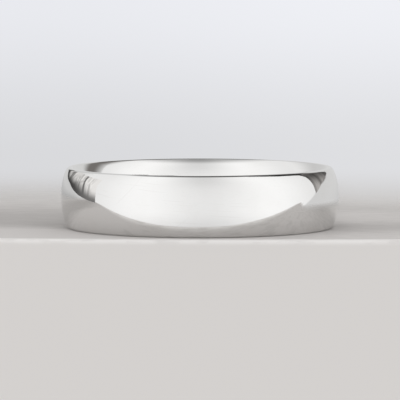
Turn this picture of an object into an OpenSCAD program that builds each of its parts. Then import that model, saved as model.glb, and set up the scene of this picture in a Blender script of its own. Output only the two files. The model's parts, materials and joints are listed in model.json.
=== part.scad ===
// Plain court wedding band: domed outside, rounded comfort inside, narrow flat rims.
// A length of court-section wire is bent round the finger axis (+Z) and its two
// ends are closed by a thin soldered seam at the back (+Y).
// The origin is the middle of the finger hole.

/* [Finger size] */
// Inside diameter at the straight land, which is the ring size
finger_d = 19.8; // [14:0.1:24]

/* [Band] */
// Width of the band along the finger
band_w = 5; // [3.5:0.1:9]
// Thickness of the metal at the middle of the band
band_t = 1.6; // [1.4:0.05:3]

/* [Outside] */
// Width of each rounded shoulder, between the crown and the rim
shoulder_w = 1.05; // [0.6:0.05:1.4]
// Slope of the outside where the crown meets the shoulders, in degrees
crown_slope = 11.3; // [6:0.1:16]
// Slope of the outside where the shoulders meet the rims, in degrees
rim_slope = 32.3; // [24:0.1:40]
// Radius on the outer edge of each rim
outer_edge_r = 0.25; // [0.05:0.01:0.3]

/* [Inside] */
// Length of the straight land in the middle of the inside
land_w = 1.4; // [0.4:0.1:2]
// Depth by which the rounded inside draws back at the rims
comfort_relief = 0.66; // [0.2:0.02:0.8]
// Radius on the inner edge of each rim
inner_edge_r = 0.14; // [0.05:0.01:0.2]

/* [Seam] */
// Thickness of the solder between the two ends of the wire
seam_t = 0.08; // [0.04:0.01:0.2]

/* [Hidden] */
$fn = 240;

platinum = "#d4d2cc";
solder = "#c9c7c1";

// Overrun by which a blending arc crosses the face that it meets
blend_overrun = 0.0002;
// Room by which a cutter stands clear of the metal
cut_room = 1;

half_w = band_w / 2;
half_land = land_w / 2;
inner_r = finger_d / 2;
outer_r = inner_r + band_t;

function heading(slope) = [cos(slope), sin(slope)];

// The outside is a crown arc with a tighter shoulder arc touching each of its ends
crown_r = (half_w - shoulder_w) / sin(crown_slope);
shoulder_r = shoulder_w / (sin(rim_slope) - sin(crown_slope));
crown_center = [outer_r - crown_r, 0];
shoulder_center = crown_center + (crown_r - shoulder_r) * heading(crown_slope);
dome_rise = outer_r - shoulder_center.x - shoulder_r * cos(rim_slope);

// The inside is a straight land with a comfort arc touching each of its ends
comfort_h = half_w - half_land;
comfort_r = (comfort_h^2 + comfort_relief^2) / (2 * comfort_relief);
comfort_center = [inner_r + comfort_r, half_land];
comfort_slope = asin(comfort_h / comfort_r);

// The rim is what is left between them, and each edge round takes up to half of it
rim_w = band_t - dome_rise - comfort_relief;
function rim_round(edge_r, slope) = min(edge_r, rim_w / 2 / tan((90 - slope) / 2));
outer_round = rim_round(outer_edge_r, rim_slope);
inner_round = rim_round(inner_edge_r, comfort_slope);

// Corner left outside an arc, from the arc's outward direction to straight up;
// side is 1 on the domed outside and -1 on the comfort inside
module corner_waste(center, outward, radius, side) {
    reach = radius + cut_room;
    difference() {
        polygon([
            center,
            center + outward * reach,
            center + [side * reach, reach],
            center + [0, reach]
        ]);
        translate(center) circle(r = radius + blend_overrun);
    }
}

// Corner left outside a round that touches an arc from inside and the upper rim plane;
// the arc overruns by itself, so the round overruns once more to cross it
module edge_waste(arc_center, arc_r, edge_r, side) {
    height = half_w - edge_r;
    reach = sqrt((arc_r - edge_r)^2 - (height - arc_center.y)^2);
    center = [arc_center.x + side * reach, height];
    outward = (center - arc_center) / norm(center - arc_center);
    corner_waste(center, outward, edge_r + blend_overrun, side);
}

// What is cut from the upper half of the blank to round its two sides and its edges
module upper_waste() {
    corner_waste(shoulder_center, heading(crown_slope), shoulder_r, 1);
    corner_waste(comfort_center, [-1, 0], comfort_r, -1);
    edge_waste(shoulder_center, shoulder_r, outer_round, 1);
    edge_waste(comfort_center, comfort_r, inner_round, -1);
}

// Section of the wire, drawn as radius across and height up
module court_section() {
    difference() {
        intersection() {
            translate([inner_r, -half_w]) square([2 * band_t, band_w]);
            translate(crown_center) circle(r = crown_r);
        }
        upper_waste();
        mirror([0, 1]) upper_waste();
    }
}

module round_blank() {
    rotate_extrude() court_section();
}

// Straight gap between the two ends of the bent wire, at the back
module end_gap() {
    translate([-seam_t / 2, 0, -band_w])
        cube([seam_t, outer_r + cut_room, 2 * band_w]);
}

module band() {
    color(platinum) difference() {
        round_blank();
        end_gap();
    }
}

module solder_seam() {
    color(solder) intersection() {
        round_blank();
        end_gap();
    }
}

band();
solder_seam();
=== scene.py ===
import json
import math

import bmesh
import bpy
from mathutils import Matrix, Vector


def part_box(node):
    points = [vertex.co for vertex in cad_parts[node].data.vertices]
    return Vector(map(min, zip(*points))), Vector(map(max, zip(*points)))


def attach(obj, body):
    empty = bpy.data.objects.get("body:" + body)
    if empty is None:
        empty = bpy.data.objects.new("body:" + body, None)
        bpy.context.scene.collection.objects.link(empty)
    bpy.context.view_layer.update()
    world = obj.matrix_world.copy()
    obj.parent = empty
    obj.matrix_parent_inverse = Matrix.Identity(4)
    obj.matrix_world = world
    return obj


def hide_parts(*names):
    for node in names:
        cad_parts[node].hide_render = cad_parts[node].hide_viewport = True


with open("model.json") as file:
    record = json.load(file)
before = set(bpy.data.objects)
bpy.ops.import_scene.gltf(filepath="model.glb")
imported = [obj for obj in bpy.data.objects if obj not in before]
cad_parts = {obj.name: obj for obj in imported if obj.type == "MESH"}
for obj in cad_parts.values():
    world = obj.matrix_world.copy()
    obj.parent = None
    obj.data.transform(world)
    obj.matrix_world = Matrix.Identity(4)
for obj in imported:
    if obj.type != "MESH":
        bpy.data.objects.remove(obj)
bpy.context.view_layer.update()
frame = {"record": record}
scene = bpy.context.scene

# The band is a length of platinum wire, drawn to a court section: a crown with rounder shoulders outside, a
# straight land with comfort curves inside, and a narrow flat rim along each edge. It is bent round a
# mandrel until its ends meet at the back, then filed, papered and buffed to a mirror on felt and cotton.
mm = 0.001
mounts = {mount["name"]: mount for mount in frame["record"]["mounts"]}
finger_radius = mounts["finger_bore"]["dims"]["r_mm"] * mm
band_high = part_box("band")[1]
outer_radius = max(band_high.x, band_high.y)
half_width = band_high.z
shoulder_width = 1.05 * mm
crown_slope = math.radians(11.3)
rim_slope = math.radians(32.3)
outer_edge_radius = 0.25 * mm
half_land = 0.7 * mm
comfort_relief = 0.66 * mm
inner_edge_radius = 0.14 * mm
seam_thickness = 0.08 * mm
seam_turn = seam_thickness / outer_radius
full_turn = 2 * math.pi
quarter_turn = full_turn / 4
back = quarter_turn
weld_distance = 0.0001 * mm
comfort_steps = 24
inner_edge_steps = 12
outer_edge_steps = 16
shoulder_steps = 18
crown_steps = 14
half_band_steps = 240

crown_radius = (half_width - shoulder_width) / math.sin(crown_slope)
shoulder_radius = shoulder_width / (math.sin(rim_slope) - math.sin(crown_slope))
comfort_height = half_width - half_land
comfort_radius = (comfort_height**2 + comfort_relief**2) / (2 * comfort_relief)
crown_center = Vector((outer_radius - crown_radius, 0, 0))
crown_end = Vector((math.cos(crown_slope), 0, math.sin(crown_slope)))
shoulder_center = crown_center + (crown_radius - shoulder_radius) * crown_end
comfort_center = Vector((finger_radius + comfort_radius, 0, half_land))


def edge_center(arc_center, arc_radius, edge_radius, side):
    """Center of the round between an arc and the upper rim; side is 1 outside and -1 inside."""
    height = half_width - edge_radius
    reach = math.sqrt((arc_radius - edge_radius) ** 2 - (height - arc_center.z) ** 2)
    return Vector((arc_center.x + side * reach, 0, height))


def edge_slope(arc_center, arc_radius, edge_radius, round_center):
    """Slope at which the round leaves its arc."""
    return math.asin((round_center.z - arc_center.z) / (arc_radius - edge_radius))


outer_edge_center = edge_center(shoulder_center, shoulder_radius, outer_edge_radius, 1)
inner_edge_center = edge_center(comfort_center, comfort_radius, inner_edge_radius, -1)
outer_edge_slope = edge_slope(shoulder_center, shoulder_radius, outer_edge_radius, outer_edge_center)
inner_edge_slope = edge_slope(comfort_center, comfort_radius, inner_edge_radius, inner_edge_center)


def draw_line(bm, pen, step):
    """Carries an outline on from its end vertex by a straight step, and returns its new end."""
    end = bmesh.ops.extrude_vert_indiv(bm, verts=[pen])["verts"][0]
    bmesh.ops.translate(bm, verts=[end], vec=step)
    return end


def draw_arc(bm, pen, center, turn, steps):
    """Carries a section on from its end vertex round a center, and returns its new end."""
    arc = bmesh.ops.spin(bm, geom=[pen], cent=center, axis=(0, 1, 0), angle=turn, steps=steps)
    return next(part for part in arc["geom_last"] if isinstance(part, bmesh.types.BMVert))


def add_object(name, bm, material):
    """Makes an object of a finished bmesh, at the origin."""
    mesh = bpy.data.meshes.new(name)
    bm.to_mesh(mesh)
    bm.free()
    mesh.materials.append(material)
    made = bpy.data.objects.new(name, mesh)
    scene.collection.objects.link(made)
    return made


def bend_court_wire(name, start, turn, steps, material):
    """Draws half of the court section, mirrors it, bends it over half of its turn and mirrors that too."""
    bm = bmesh.new()
    pen = bmesh.ops.create_vert(bm, co=(finger_radius, 0, 0))["vert"][0]
    pen = draw_line(bm, pen, (0, 0, half_land))
    pen = draw_arc(bm, pen, comfort_center, inner_edge_slope, comfort_steps)
    pen = draw_arc(bm, pen, inner_edge_center, quarter_turn - inner_edge_slope, inner_edge_steps)
    pen = draw_line(bm, pen, (outer_edge_center.x - inner_edge_center.x, 0, 0))
    pen = draw_arc(bm, pen, outer_edge_center, quarter_turn - outer_edge_slope, outer_edge_steps)
    pen = draw_arc(bm, pen, shoulder_center, outer_edge_slope - crown_slope, shoulder_steps)
    draw_arc(bm, pen, crown_center, crown_slope, crown_steps)
    half_section = bm.verts[:] + bm.edges[:]
    bmesh.ops.mirror(bm, geom=half_section, axis="Z", merge_dist=weld_distance)
    bmesh.ops.rotate(bm, verts=bm.verts, matrix=Matrix.Rotation(start, 3, "Z"))
    section = bm.verts[:] + bm.edges[:]
    bmesh.ops.spin(bm, geom=section, axis=(0, 0, 1), angle=turn / 2, steps=steps)
    half_wire = bm.verts[:] + bm.edges[:] + bm.faces[:]
    bmesh.ops.mirror(bm, geom=half_wire, axis="X", merge_dist=weld_distance)
    for face in bm.faces:
        face.smooth = True
    ends = [edge for edge in bm.edges if edge.is_boundary]
    for edge in ends:
        edge.smooth = False
    bmesh.ops.holes_fill(bm, edges=ends)
    bmesh.ops.recalc_face_normals(bm, faces=bm.faces)
    return add_object(name, bm, material)


def add_node(tree, kind, inputs, **settings):
    """Adds a shader node; each input named is given its value, or the socket that feeds it."""
    node = tree.nodes.new("ShaderNode" + kind)
    for name, value in settings.items():
        setattr(node, name, value)
    for name, value in inputs.items():
        if isinstance(value, bpy.types.NodeSocket):
            tree.links.new(value, node.inputs[name])
        else:
            node.inputs[name].default_value = value
    return node


def calculate(tree, operation, *terms):
    """Adds a sum on numbers or sockets, and returns its result."""
    return add_node(tree, "Math", dict(enumerate(terms)), operation=operation).outputs["Value"]


def multiply(tree, product, *shares):
    """Multiplies a socket by each share in turn, and returns the product."""
    for share in shares:
        product = calculate(tree, "MULTIPLY", product, share)
    return product


def measure(tree, operation, *vectors):
    """Adds a length, a distance or a dot product of vectors, and returns its number."""
    return add_node(tree, "VectorMath", dict(enumerate(vectors)), operation=operation).outputs["Value"]


def stretch(tree, vector, shares):
    """Multiplies the parts of a vector by their own shares, and returns the new vector."""
    return add_node(tree, "VectorMath", {0: vector, 1: shares}, operation="MULTIPLY").outputs["Vector"]


def split(tree, vector):
    """Returns the parts of a vector along X, Y and Z."""
    return add_node(tree, "SeparateXYZ", {"Vector": vector}).outputs


def object_spot(tree):
    """Returns the place on the object that is being shaded."""
    return add_node(tree, "TexCoord", {}).outputs["Object"]


def noise(tree, spot, scale, detail, **more):
    """Adds a noise with so many grains per metre, and returns its value."""
    inputs = {"Vector": spot, "Scale": scale, "Detail": detail, **more}
    return add_node(tree, "TexNoise", inputs).outputs["Fac"]


def ease(tree, value, low, high, start=0.0, end=1.0):
    """Carries a value smoothly from start, at low, to end, at high."""
    inputs = {"Value": value, "From Min": low, "From Max": high, "To Min": start, "To Max": end}
    return add_node(tree, "MapRange", inputs, interpolation_type="SMOOTHSTEP").outputs["Result"]


def blend_colors(tree, share, first, second):
    """Mixes two colours, and returns the mixture; colours go in at sockets 6 and 7 and come out at 2."""
    return add_node(tree, "Mix", {0: share, 6: first, 7: second}, data_type="RGBA").outputs[2]


def open_group(name, inputs):
    """Starts a node group whose inputs have these names and first values."""
    tree = bpy.data.node_groups.new(name, "ShaderNodeTree")
    for socket_name, value in inputs.items():
        socket = tree.interface.new_socket(socket_name, in_out="INPUT", socket_type="NodeSocketFloat")
        socket.default_value = value
    return tree, tree.nodes.new("NodeGroupInput").outputs


def close_group(tree, outputs):
    """Ends a node group with these outputs."""
    for socket_name in outputs:
        tree.interface.new_socket(socket_name, in_out="OUTPUT", socket_type="NodeSocketFloat")
    leave = tree.nodes.new("NodeGroupOutput")
    for socket_name, socket in outputs.items():
        tree.links.new(socket, leave.inputs[socket_name])


def use_group(tree, group, values):
    """Places a node group with these values, and returns its outputs."""
    return add_node(tree, "Group", values, node_tree=group).outputs


def open_material(name):
    """Starts a material, and returns it with its node tree and its Principled shader."""
    material = bpy.data.materials.new(name)
    material.use_nodes = True
    return material, material.node_tree, material.node_tree.nodes["Principled BSDF"]


# Places on the metal: how far round the band from the front, how far across its section, and how high.
# The way round starts and ends at the seam.
flat_shares = (1, 1, 0)
band_places, _ = open_group("places on the band", {})
spot = object_spot(band_places)
spot_parts = split(band_places, spot)
frontward = calculate(band_places, "MULTIPLY", spot_parts["Y"], -1.0)
bearing = calculate(band_places, "ARCTAN2", spot_parts["X"], frontward)
way_round = calculate(band_places, "MULTIPLY", bearing, outer_radius)
reach = measure(band_places, "LENGTH", stretch(band_places, spot, flat_shares))
way_across = calculate(band_places, "ADD", spot_parts["Z"], reach)
close_group(band_places, {"Round": way_round, "Across": way_across, "Height": spot_parts["Z"]})

# Rings that the buffing wheels leave round the band: noise drawn out along the wire.
ring_detail = 3.0
buffing_rings, given = open_group("buffing rings", {"Rings per metre": 14000.0, "Drawn out": 0.005})
places = use_group(buffing_rings, band_places, {})
drawn_out = calculate(buffing_rings, "MULTIPLY", places["Round"], given["Drawn out"])
ring_spot = add_node(buffing_rings, "CombineXYZ", {"X": drawn_out, "Y": places["Across"]}).outputs[0]
rings = noise(buffing_rings, ring_spot, given["Rings per metre"], ring_detail)
close_group(buffing_rings, {"Rings": rings})

# Hairline scratches from wear: the peaks of a noise drawn out along one slant.
hairline_stretch = (0.03, 1, 1)
hairline_detail = 0.0
hairline_softness = 0.05
hairlines, given = open_group("hairlines", {"Slant": 0.0, "Lines per metre": 9000.0, "Peak": 0.7})
places = use_group(hairlines, band_places, {})
line_spot = add_node(hairlines, "CombineXYZ", {"X": places["Round"], "Y": places["Across"]}).outputs[0]
turned = add_node(hairlines, "VectorRotate", {"Vector": line_spot, "Angle": given["Slant"]}).outputs[0]
line_spot = stretch(hairlines, turned, hairline_stretch)
lines = noise(hairlines, line_spot, given["Lines per metre"], hairline_detail)
line_end = calculate(hairlines, "ADD", given["Peak"], hairline_softness)
close_group(hairlines, {"Line": ease(hairlines, lines, given["Peak"], line_end)})

# The faint film that handling leaves: broad soft patches with a finer mottle in them.
film_detail = 5.0
film_mottle = 0.6
film_edges = (0.42, 0.72)
handling_film, given = open_group("handling film", {"Patches per metre": 260.0})
spot = object_spot(handling_film)
patches = noise(handling_film, spot, given["Patches per metre"], film_detail, Roughness=film_mottle)
close_group(handling_film, {"Film": ease(handling_film, patches, *film_edges)})

# Scuffs along the rims and edges, where the band touches what it is laid on.
scuff_detail = 2.0
scuff_edges = (0.4, 0.7)
edge_scuffs, given = open_group("edge scuffs", {"Scuffs per metre": 5000.0})
spot = object_spot(edge_scuffs)
places = use_group(edge_scuffs, band_places, {})
height = calculate(edge_scuffs, "ABSOLUTE", places["Height"])
near_rim = ease(edge_scuffs, height, half_width - outer_edge_radius, half_width)
scuffs = noise(edge_scuffs, spot, given["Scuffs per metre"], scuff_detail)
scuffs = ease(edge_scuffs, scuffs, *scuff_edges)
close_group(edge_scuffs, {"Scuff": multiply(edge_scuffs, near_rim, scuffs)})

# Buffed metal: how its marks lie, how much they roughen and dull it, and how high they stand. The wobble is
# what the file leaves.
level_lines = {"Slant": 0.06}
slanting_lines = {"Slant": -0.7, "Lines per metre": 5000.0, "Peak": 0.74}
ring_roughness = 0.02
film_roughness = 0.03
hairline_roughness = 0.035
scuff_roughness = 0.06
dulling = 0.5
wobbles_per_metre = 330.0
wobble_detail = 1.0
wobble_height = 0.003 * mm
ring_height = 0.00004 * mm
hairline_depth = 0.000006 * mm


def polished_metal(name, clean_color, filmed_color, smoothest):
    """Buffed metal with its rings, hairlines, film, scuffs and wobble; smoothest is its least roughness."""
    material, tree, metal = open_material(name)
    rings = use_group(tree, buffing_rings, {})["Rings"]
    film = use_group(tree, handling_film, {})["Film"]
    scuff = use_group(tree, edge_scuffs, {})["Scuff"]
    level_line = use_group(tree, hairlines, level_lines)["Line"]
    slanting_line = use_group(tree, hairlines, slanting_lines)["Line"]
    lines = calculate(tree, "MAXIMUM", level_line, slanting_line)
    roughness = calculate(tree, "MULTIPLY_ADD", rings, ring_roughness, smoothest)
    roughness = calculate(tree, "MULTIPLY_ADD", film, film_roughness, roughness)
    roughness = calculate(tree, "MULTIPLY_ADD", lines, hairline_roughness, roughness)
    roughness = calculate(tree, "MULTIPLY_ADD", scuff, scuff_roughness, roughness)
    wobble = noise(tree, object_spot(tree), wobbles_per_metre, wobble_detail)
    surface = calculate(tree, "MULTIPLY", wobble, wobble_height)
    surface = calculate(tree, "MULTIPLY_ADD", rings, ring_height, surface)
    surface = calculate(tree, "MULTIPLY_ADD", lines, -hairline_depth, surface)
    bump = add_node(tree, "Bump", {"Height": surface, "Distance": 1.0}).outputs["Normal"]
    dulled = multiply(tree, calculate(tree, "MAXIMUM", film, lines), dulling)
    tree.links.new(blend_colors(tree, dulled, clean_color, filmed_color), metal.inputs["Base Color"])
    tree.links.new(roughness, metal.inputs["Roughness"])
    tree.links.new(bump, metal.inputs["Normal"])
    metal.inputs["Metallic"].default_value = 1.0
    return material


platinum_clean = (0.84, 0.836, 0.828, 1)
platinum_filmed = (0.80, 0.792, 0.78, 1)
platinum = polished_metal("polished platinum", platinum_clean, platinum_filmed, smoothest=0.02)
band_start = back + seam_turn / 2
band = bend_court_wire("polished_band", band_start, full_turn - seam_turn, half_band_steps, platinum)
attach(band, "root")
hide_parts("band")

# The seam is a wafer of platinum solder that closes the butt joint between the two ends of the wire. It is
# run in with a torch, then filed and buffed flush with the band. Solder is a shade greyer and takes a
# little less polish, so that a trace of it can be found at the back.
solder_clean = (0.832, 0.827, 0.818, 1)
solder_filmed = (0.79, 0.781, 0.768, 1)
solder = polished_metal("platinum solder", solder_clean, solder_filmed, smoothest=0.024)
seam_start = back - seam_turn / 2
half_seam_steps = 1
seam = bend_court_wire("flush_seam", seam_start, seam_turn, half_seam_steps, solder)
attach(seam, "root")
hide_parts("solder_seam")

# The floor is a thick round board of pale matt stuff with a faint grain and a softened edge. The band
# lies on its lower rim close behind that edge. Its top is painted darker under and just behind the band as
# painted shade, lighter in front and further behind and in two pools as painted light, and paler along its
# rim. Behind the band and to its right it fades away into the backdrop.
board_radius = 260.0 * mm
board_front = Vector((8.0 * mm, -13.1 * mm, 0))
board_center = board_front + Vector((0, board_radius, 0))
board_thickness = 80.0 * mm
board_sides = 720
board_arris = 0.25 * mm
arris_steps = 5
# Painted shade and painted light on the top of the board.
board_painted_shade = (0.437, 0.418, 0.406, 1)
board_painted_light = (0.60, 0.577, 0.563, 1)
board_rim_tone = (0.82, 0.80, 0.785, 1)
board_side = (0.69, 0.667, 0.65, 1)
board_roughness = 0.9
board_gloss = 0.2
grains_per_metre = 1800.0
grain_detail = 4.0
grain_stretch = (0.3, 1, 1)
grain_edges = (0.3, 0.7)
grain_depth = 0.35
grain_weakens = (-9.0 * mm, -5.0 * mm)
grain_left = 0.5
light_in_front = (4.0 * mm, -11.0 * mm)
light_behind = (10.0 * mm, 30.0 * mm)
light_behind_share = 0.75
# Two pools of painted light on the board, each with its place and its gain.
painted_light_pools = ((-17.0 * mm, -8.0 * mm, 1.0), (14.0 * mm, 10.0 * mm, 0.9))
light_pool_reach = (12.0 * mm, 2.0 * mm)
rim_band_width = 1.7 * mm
fade_backward = (14.0 * mm, 60.0 * mm)
fade_outward = (17.0 * mm, 40.0 * mm)
fade_side = (5.0 * mm, 15.0 * mm)
fade_front = (-8.0 * mm, -4.0 * mm)


def fade_out(tree, shader, share):
    """Ends a material whose surface is clear by a share that changes over it."""
    clear = add_node(tree, "BsdfTransparent", {})
    fading = add_node(tree, "MixShader", {0: share, 1: shader.outputs[0], 2: clear.outputs[0]})
    tree.links.new(fading.outputs[0], tree.nodes["Material Output"].inputs["Surface"])


pale, tree, board = open_material("pale board")
spot = object_spot(tree)
spot_parts = split(tree, spot)
flat_spot = stretch(tree, spot, flat_shares)
grain = noise(tree, stretch(tree, spot, grain_stretch), grains_per_metre, grain_detail)
grain = ease(tree, grain, *grain_edges, -grain_depth, grain_depth)
grain = multiply(tree, grain, ease(tree, spot_parts["Y"], *grain_weakens, 1.0, grain_left))
# Painted light in front of the band and further behind it; under and just behind the band the top keeps its
# painted shade.
grain_and_painted_light = calculate(tree, "ADD", grain, ease(tree, spot_parts["Y"], *light_in_front))
grain_and_painted_light = calculate(tree, "ADD", grain_and_painted_light, ease(tree, spot_parts["Y"], *light_behind, 0.0, light_behind_share))
# Pools of painted light.
for pool_x, pool_y, gain in painted_light_pools:
    away = measure(tree, "DISTANCE", spot, (pool_x, pool_y, -half_width))
    grain_and_painted_light = calculate(tree, "ADD", grain_and_painted_light, ease(tree, away, *light_pool_reach, 0.0, gain))
top_color = blend_colors(tree, grain_and_painted_light, board_painted_shade, board_painted_light)
from_axis = measure(tree, "DISTANCE", flat_spot, board_center)
# A paler band along the rim of the board, with the grain in it.
rim_share = ease(tree, from_axis, board_radius - rim_band_width, board_radius)
rim_share = calculate(tree, "ADD", rim_share, multiply(tree, grain, rim_share))
top_color = blend_colors(tree, rim_share, top_color, board_rim_tone)
near_top = ease(tree, spot_parts["Z"], -half_width - 2 * board_arris, -half_width)
tree.links.new(blend_colors(tree, near_top, board_side, top_color), board.inputs["Base Color"])
board.inputs["Roughness"].default_value = board_roughness
board.inputs["Specular IOR Level"].default_value = board_gloss
from_band = measure(tree, "LENGTH", flat_spot)
gone_right = multiply(
    tree,
    ease(tree, from_band, *fade_outward),
    ease(tree, spot_parts["X"], *fade_side),
    ease(tree, spot_parts["Y"], *fade_front),
)
gone_behind = ease(tree, spot_parts["Y"], *fade_backward)
fade_out(tree, board, calculate(tree, "MAXIMUM", gone_behind, gone_right))
bm = bmesh.new()
board_sizes = {"radius1": board_radius, "radius2": board_radius, "depth": board_thickness}
bmesh.ops.create_cone(bm, cap_ends=True, segments=board_sides, **board_sizes)
board_drop = Vector((0, 0, -half_width - board_thickness / 2))
bmesh.ops.translate(bm, verts=bm.verts, vec=board_center + board_drop)
top_face = max(bm.faces, key=lambda face: face.calc_center_median().z)
arris = {"offset": board_arris, "segments": arris_steps, "profile": 0.5, "material": -1}
bmesh.ops.bevel(bm, geom=top_face.edges[:], affect="EDGES", **arris)
add_object("floor", bm, pale)

# A strip of creased foil stands in a curve round the left of the band, cut along a slanting foot. It is
# dark low down and streaked with light above, with a few leaning folds, and its far end thins away. It
# gives its own light, and only reflections show it.
foil_reach = 31.0 * mm
foil_left = -150.0
foil_right = -80.3
foil_steps = 32
foil_low = -2.4 * mm
foil_high = 12.4 * mm
foot_height = 6.4 * mm
foot_outward = Vector((0.22, 0.15, -1.0))
foil_color = (1, 0.982, 0.965, 1)
foil_gain = 0.8
creases_per_metre = 500.0
crease_detail = 2.0
crease_twist = 1.0
crease_stretch = (1, 1, 0.3)
crease_edges = (0.32, 0.62)
crease_levels = (0.5, 0.95)
smooth_end = (-3.0 * mm, 2.0 * mm)
smooth_level = 0.9
# Each fold has its place, its half width and the share of light that it leaves.
foil_folds = (
    (3.9 * mm, 0.8 * mm, 0.1),
    (7.8 * mm, 0.6 * mm, 0.6),
    (16.6 * mm, 2.2 * mm, 0.4),
    (25.0 * mm, 6.0 * mm, 0.08),
)
fold_lean = 0.16
fold_core = 0.5
dark_grows = (-4.0 * mm, 9.0 * mm)
dark_heights = (4.5 * mm, 6.5 * mm)
dark_shrinks = (10.0 * mm, 18.0 * mm)
dark_loss = 3.0 * mm
lift_edges = (0.12, 1.05)
foot_darkens = (-3.0 * mm, 14.0 * mm)
foot_levels = (0.2, 0.06)
foil_thins = (23.6 * mm, 26.5 * mm)


def direction(azimuth, elevation):
    """A direction from the band, in degrees: azimuth 0 is towards the camera and 90 to its right."""
    turn = math.radians(azimuth)
    rise = math.radians(elevation)
    return Vector((math.sin(turn) * math.cos(rise), -math.cos(turn) * math.cos(rise), math.sin(rise)))


def open_glow(name, color):
    """Starts a material that only gives light, and returns it with its node tree and Emission shader."""
    material = bpy.data.materials.new(name)
    material.use_nodes = True
    tree = material.node_tree
    tree.nodes.remove(tree.nodes["Principled BSDF"])
    glow = add_node(tree, "Emission", {"Color": color})
    tree.links.new(glow.outputs[0], tree.nodes["Material Output"].inputs["Surface"])
    return material, tree, glow


def stage_for_reflections(card):
    """Hides a card from the camera, from diffuse light and from shadows, so that only reflections show it.
    """
    card.visible_camera = False
    card.visible_diffuse = False
    card.visible_shadow = False


foil, tree, glow = open_glow("creased foil", foil_color)
spot = object_spot(tree)
spot_parts = split(tree, spot)
backward = spot_parts["Y"]
creases = stretch(tree, spot, crease_stretch)
creases = noise(tree, creases, creases_per_metre, crease_detail, Distortion=crease_twist)
creases = ease(tree, creases, *crease_edges, *crease_levels)
streaks = calculate(tree, "MAXIMUM", creases, ease(tree, backward, *smooth_end, smooth_level, 0.0))
over_pivot = calculate(tree, "SUBTRACT", spot_parts["Z"], foot_height)
leaning = calculate(tree, "MULTIPLY_ADD", over_pivot, -fold_lean, backward)
for fold_place, fold_width, share in foil_folds:
    from_fold = calculate(tree, "ABSOLUTE", calculate(tree, "SUBTRACT", leaning, fold_place))
    streaks = multiply(tree, streaks, ease(tree, from_fold, fold_core * fold_width, fold_width, share, 1.0))
over_foot = measure(tree, "DOT_PRODUCT", spot, -foot_outward)
over_foot = calculate(tree, "SUBTRACT", over_foot, foot_height)
dark_height = ease(tree, backward, *dark_grows, *dark_heights)
dark_height = calculate(tree, "SUBTRACT", dark_height, ease(tree, backward, *dark_shrinks, 0.0, dark_loss))
lift = ease(tree, calculate(tree, "DIVIDE", over_foot, dark_height), *lift_edges)
foot_level = ease(tree, backward, *foot_darkens, *foot_levels)
shine = calculate(tree, "MULTIPLY_ADD", multiply(tree, streaks, lift), foil_gain, foot_level)
tree.links.new(shine, glow.inputs["Strength"])
fade_out(tree, glow, ease(tree, backward, *foil_thins))
bm = bmesh.new()
foil_start = foil_reach * direction(foil_left, 0) + Vector((0, 0, foil_low))
pen = bmesh.ops.create_vert(bm, co=foil_start)["vert"][0]
draw_line(bm, pen, (0, 0, foil_high - foil_low))
foil_turn = math.radians(foil_right - foil_left)
bmesh.ops.spin(bm, geom=bm.verts[:] + bm.edges[:], axis=(0, 0, 1), angle=foil_turn, steps=foil_steps)
foil_parts = bm.verts[:] + bm.edges[:] + bm.faces[:]
foot_point = (0, 0, foot_height)
bmesh.ops.bisect_plane(bm, geom=foil_parts, plane_co=foot_point, plane_no=foot_outward, clear_outer=True)
stage_for_reflections(add_object("left_foil", bm, foil))

# A card covered with dark cloth stands close by on the right, cut to a low wedge. It gives a faint light of
# its own; painted light makes it lighter at its foot and draws faint upright folds, and only reflections
# show it.
card_reach = 17.0 * mm
# The corners of the card are given as azimuths and heights.
card_foot = ((76.9, 3.0 * mm), (78.2, 1.1 * mm), (87.0, 2.5 * mm), (95.0, 3.8 * mm), (106.0, 4.6 * mm))
card_top = ((106.0, 8.2 * mm), (66.0, 8.2 * mm), (73.0, 7.4 * mm), (76.0, 6.0 * mm))
card_color = (1, 0.96, 0.93, 1)
card_painted_light_heights = (1.5 * mm, 6.5 * mm)
card_painted_light_levels = (0.36, 0.09)
cloth_folds_per_metre = 700.0
cloth_detail = 2.0
cloth_stretch = (1, 1, 0.05)
cloth_edges = (0.35, 0.65)
cloth_shares = (0.7, 1.45)
cloth, tree, glow = open_glow("dark cloth", card_color)
spot = object_spot(tree)
folds = noise(tree, stretch(tree, spot, cloth_stretch), cloth_folds_per_metre, cloth_detail)
folds = ease(tree, folds, *cloth_edges, *cloth_shares)
# Painted light, stronger at the foot of the card.
shade = ease(tree, split(tree, spot)["Z"], *card_painted_light_heights, *card_painted_light_levels)
tree.links.new(multiply(tree, shade, folds), glow.inputs["Strength"])


def cut_card(name, distance, outline, material):
    """Cuts a card to an outline of azimuths and heights, at a distance from the axis of the band."""
    bm = bmesh.new()
    corners = [distance * direction(azimuth, 0) + Vector((0, 0, height)) for azimuth, height in outline]
    pen = bmesh.ops.create_vert(bm, co=corners[0])["vert"][0]
    for corner in corners[1:] + corners[:1]:
        pen = draw_line(bm, pen, corner - pen.co)
    bmesh.ops.remove_doubles(bm, verts=bm.verts, dist=weld_distance)
    bmesh.ops.edgeloop_fill(bm, edges=bm.edges[:])
    stage_for_reflections(add_object(name, bm, material))


cut_card("right_card", card_reach, card_foot + card_top, cloth)

# A narrow strip of black paper is held just off the band on the right, a little above its rim. It draws the
# dark line under the rim on that side, and only reflections show it.
strip_reach = 12.4 * mm
strip_foot = ((26.0, 4.6 * mm), (33.0, 4.25 * mm), (42.0, 4.0 * mm), (50.0, 3.9 * mm), (59.0, 3.8 * mm))
strip_top = ((68.0, 6.2 * mm), (40.0, 6.2 * mm), (26.0, 5.6 * mm))
strip_color = (1, 1, 1, 1)
strip_level = 0.05
black, _, glow = open_glow("black paper", strip_color)
glow.inputs["Strength"].default_value = strip_level
cut_card("right_strip", strip_reach, strip_foot + strip_top, black)

# The light is a wide wrap of white paper round the front, brightest where two lamps light it. Pale walls
# stand beyond it, with a dark corner behind on the right and a dark ceiling over it. All of it is far off,
# so the world carries it. The camera sees a pale backdrop instead, which darkens towards the floor.
paper_level = 0.94
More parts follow.
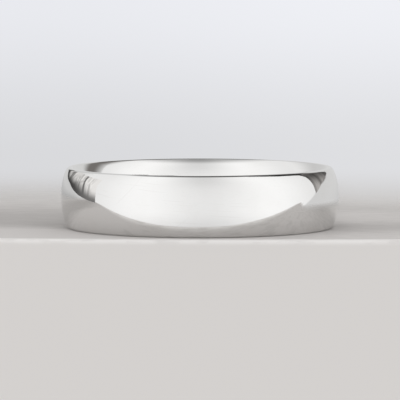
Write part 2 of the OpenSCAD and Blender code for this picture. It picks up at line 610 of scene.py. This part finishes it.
# Each lamp has its azimuth and the light that it adds.
paper_lamps = ((-50.0, 0.17), (62.0, 0.19))
lamp_spread = 55.0
paper_dip = -0.14
paper_dip_spread = 50.0
paper_dip_heights = (5.0, 52.0)
paper_left = (-132.0, -98.0)
paper_left_lean = 0.93
paper_left_lean_top = 15.0
paper_right = (109.0, 105.0)
paper_right_lean = -1.9
paper_right_lean_top = 4.0
paper_low = (-50.0, -42.0)
paper_foot = (-8.0, -36.0)
paper_foot_share = 0.82
paper_high = (52.0, 70.0)
paper_high_share = 0.47
wall_sides = (-0.8, 0.8)
wall_levels = (0.65, 0.73)
wall_foot = (-5.0, 1.0)
wall_foot_shares = (0.55, 1.0)
corner_color = (0.197, 0.186, 0.177, 1)
corner_left = (110.5, 129.0)
corner_lean = 0.9
corner_lean_foot = 34.0
corner_right = (150.0, 136.0)
corner_foot = -30.0
corner_foot_rise = 0.3
corner_softness = 1.5
ceiling_color = (0.043, 0.04, 0.037, 1)
ceiling_toward = direction(160, 62)
ceiling_outer = math.cos(math.radians(30))
ceiling_inner = math.cos(math.radians(24))
fill_color = (0.95, 0.95, 0.95, 1)
backdrop_low = (0.56, 0.545, 0.53, 1)
backdrop_middle = (0.71, 0.715, 0.735, 1)
backdrop_high = (0.835, 0.845, 0.885, 1)
backdrop_lower_rise = (-0.0785, -0.067)
backdrop_upper_rise = (-0.067, -0.026)
backdrop_sides = (-0.045, 0.045)
backdrop_shares = (0.975, 1.03)
world = bpy.data.worlds.new("studio")
scene.world = world
world.use_nodes = True
tree = world.node_tree
toward = add_node(tree, "TexCoord", {}).outputs["Generated"]
toward_parts = split(tree, toward)
frontward = calculate(tree, "MULTIPLY", toward_parts["Y"], -1.0)
azimuth = calculate(tree, "DEGREES", calculate(tree, "ARCTAN2", toward_parts["X"], frontward))
elevation = calculate(tree, "DEGREES", calculate(tree, "ARCSINE", toward_parts["Z"]))

# The paper, with its lamps, its dip in front and its leaning ends.
front_share = ease(tree, calculate(tree, "ABSOLUTE", azimuth), paper_dip_spread, 0.0)
dip = multiply(tree, front_share, ease(tree, elevation, *paper_dip_heights, 0.0, paper_dip))
paper = calculate(tree, "ADD", dip, paper_level)
for lamp_azimuth, gain in paper_lamps:
    apart = calculate(tree, "ABSOLUTE", calculate(tree, "SUBTRACT", azimuth, lamp_azimuth))
    paper = calculate(tree, "ADD", paper, ease(tree, apart, lamp_spread, 0.0, 0.0, gain))
paper = multiply(
    tree,
    paper,
    ease(tree, elevation, *paper_high, 1.0, paper_high_share),
    ease(tree, elevation, *paper_foot, 1.0, paper_foot_share),
)
left_rise = calculate(tree, "MINIMUM", elevation, paper_left_lean_top)
left_leaning = calculate(tree, "MULTIPLY_ADD", left_rise, paper_left_lean, azimuth)
right_rise = calculate(tree, "MINIMUM", elevation, paper_right_lean_top)
right_leaning = calculate(tree, "MULTIPLY_ADD", right_rise, paper_right_lean, azimuth)
paper_share = multiply(
    tree,
    ease(tree, left_leaning, *paper_left),
    ease(tree, right_leaning, *paper_right),
    ease(tree, elevation, *paper_low),
)

# The walls, the dark corner and the dark ceiling.
wall = ease(tree, toward_parts["X"], *wall_sides, *wall_levels)
wall_foot_share = ease(tree, toward_parts["X"], *wall_sides, *wall_foot_shares)
wall = multiply(tree, wall, ease(tree, elevation, *wall_foot, wall_foot_share, 1.0))
mirrored = blend_colors(tree, paper_share, wall, paper)
corner_rise = calculate(tree, "MAXIMUM", calculate(tree, "SUBTRACT", elevation, corner_lean_foot), 0.0)
corner_leaning = calculate(tree, "MULTIPLY_ADD", corner_rise, corner_lean, azimuth)
foot_elevation = calculate(tree, "MULTIPLY_ADD", azimuth, corner_foot_rise, corner_foot)
over_corner_foot = calculate(tree, "SUBTRACT", elevation, foot_elevation)
corner = multiply(
    tree,
    ease(tree, corner_leaning, *corner_left),
    ease(tree, azimuth, *corner_right),
    ease(tree, over_corner_foot, -corner_softness, corner_softness),
)
mirrored = blend_colors(tree, corner, mirrored, corner_color)
overhead = measure(tree, "DOT_PRODUCT", toward, ceiling_toward)
ceiling = ease(tree, overhead, ceiling_outer, ceiling_inner)
mirrored = blend_colors(tree, ceiling, mirrored, ceiling_color)

# The backdrop, and what each kind of ray is shown.
over_low = ease(tree, toward_parts["Z"], *backdrop_lower_rise)
over_middle = ease(tree, toward_parts["Z"], *backdrop_upper_rise)
seen = blend_colors(tree, over_low, backdrop_low, backdrop_middle)
seen = blend_colors(tree, over_middle, seen, backdrop_high)
seen_share = ease(tree, toward_parts["X"], *backdrop_sides, *backdrop_shares)
seen = add_node(tree, "VectorMath", {0: seen, "Scale": seen_share}, operation="SCALE").outputs["Vector"]
path = add_node(tree, "LightPath", {}).outputs
shown = blend_colors(tree, path["Is Glossy Ray"], fill_color, mirrored)
shown = blend_colors(tree, path["Is Camera Ray"], shown, seen)
tree.links.new(shown, tree.nodes["Background"].inputs["Color"])

# The camera looks a little down on the front of the band through a long lens. Its place follows from the
# pixel on which the middle of the band falls, and its lens from the scale of the picture there.
camera_distance = 345.0 * mm
camera_elevation = 4.32
pixels_per_metre = 12060.0
image_pixels = 400
band_center_pixel = (199.8, 197.0)
camera_data = bpy.data.cameras.new("camera")
camera = bpy.data.objects.new("camera", camera_data)
scene.collection.objects.link(camera)
camera.rotation_euler = (math.radians(90 - camera_elevation), 0, 0)
sight = direction(0, camera_elevation)
image_right = Vector((1, 0, 0))
image_up = sight.cross(image_right)
aside = (image_pixels / 2 - band_center_pixel[0]) / pixels_per_metre
below = (image_pixels / 2 - band_center_pixel[1]) / pixels_per_metre
camera.location = sight * camera_distance + image_right * aside - image_up * below
camera_data.sensor_width = 36.0
camera_data.lens = camera_data.sensor_width * camera_distance * pixels_per_metre / image_pixels
camera_data.clip_start = 10.0 * mm
camera_data.clip_end = 10.0
scene.camera = camera
scene.view_settings.view_transform = "Standard"
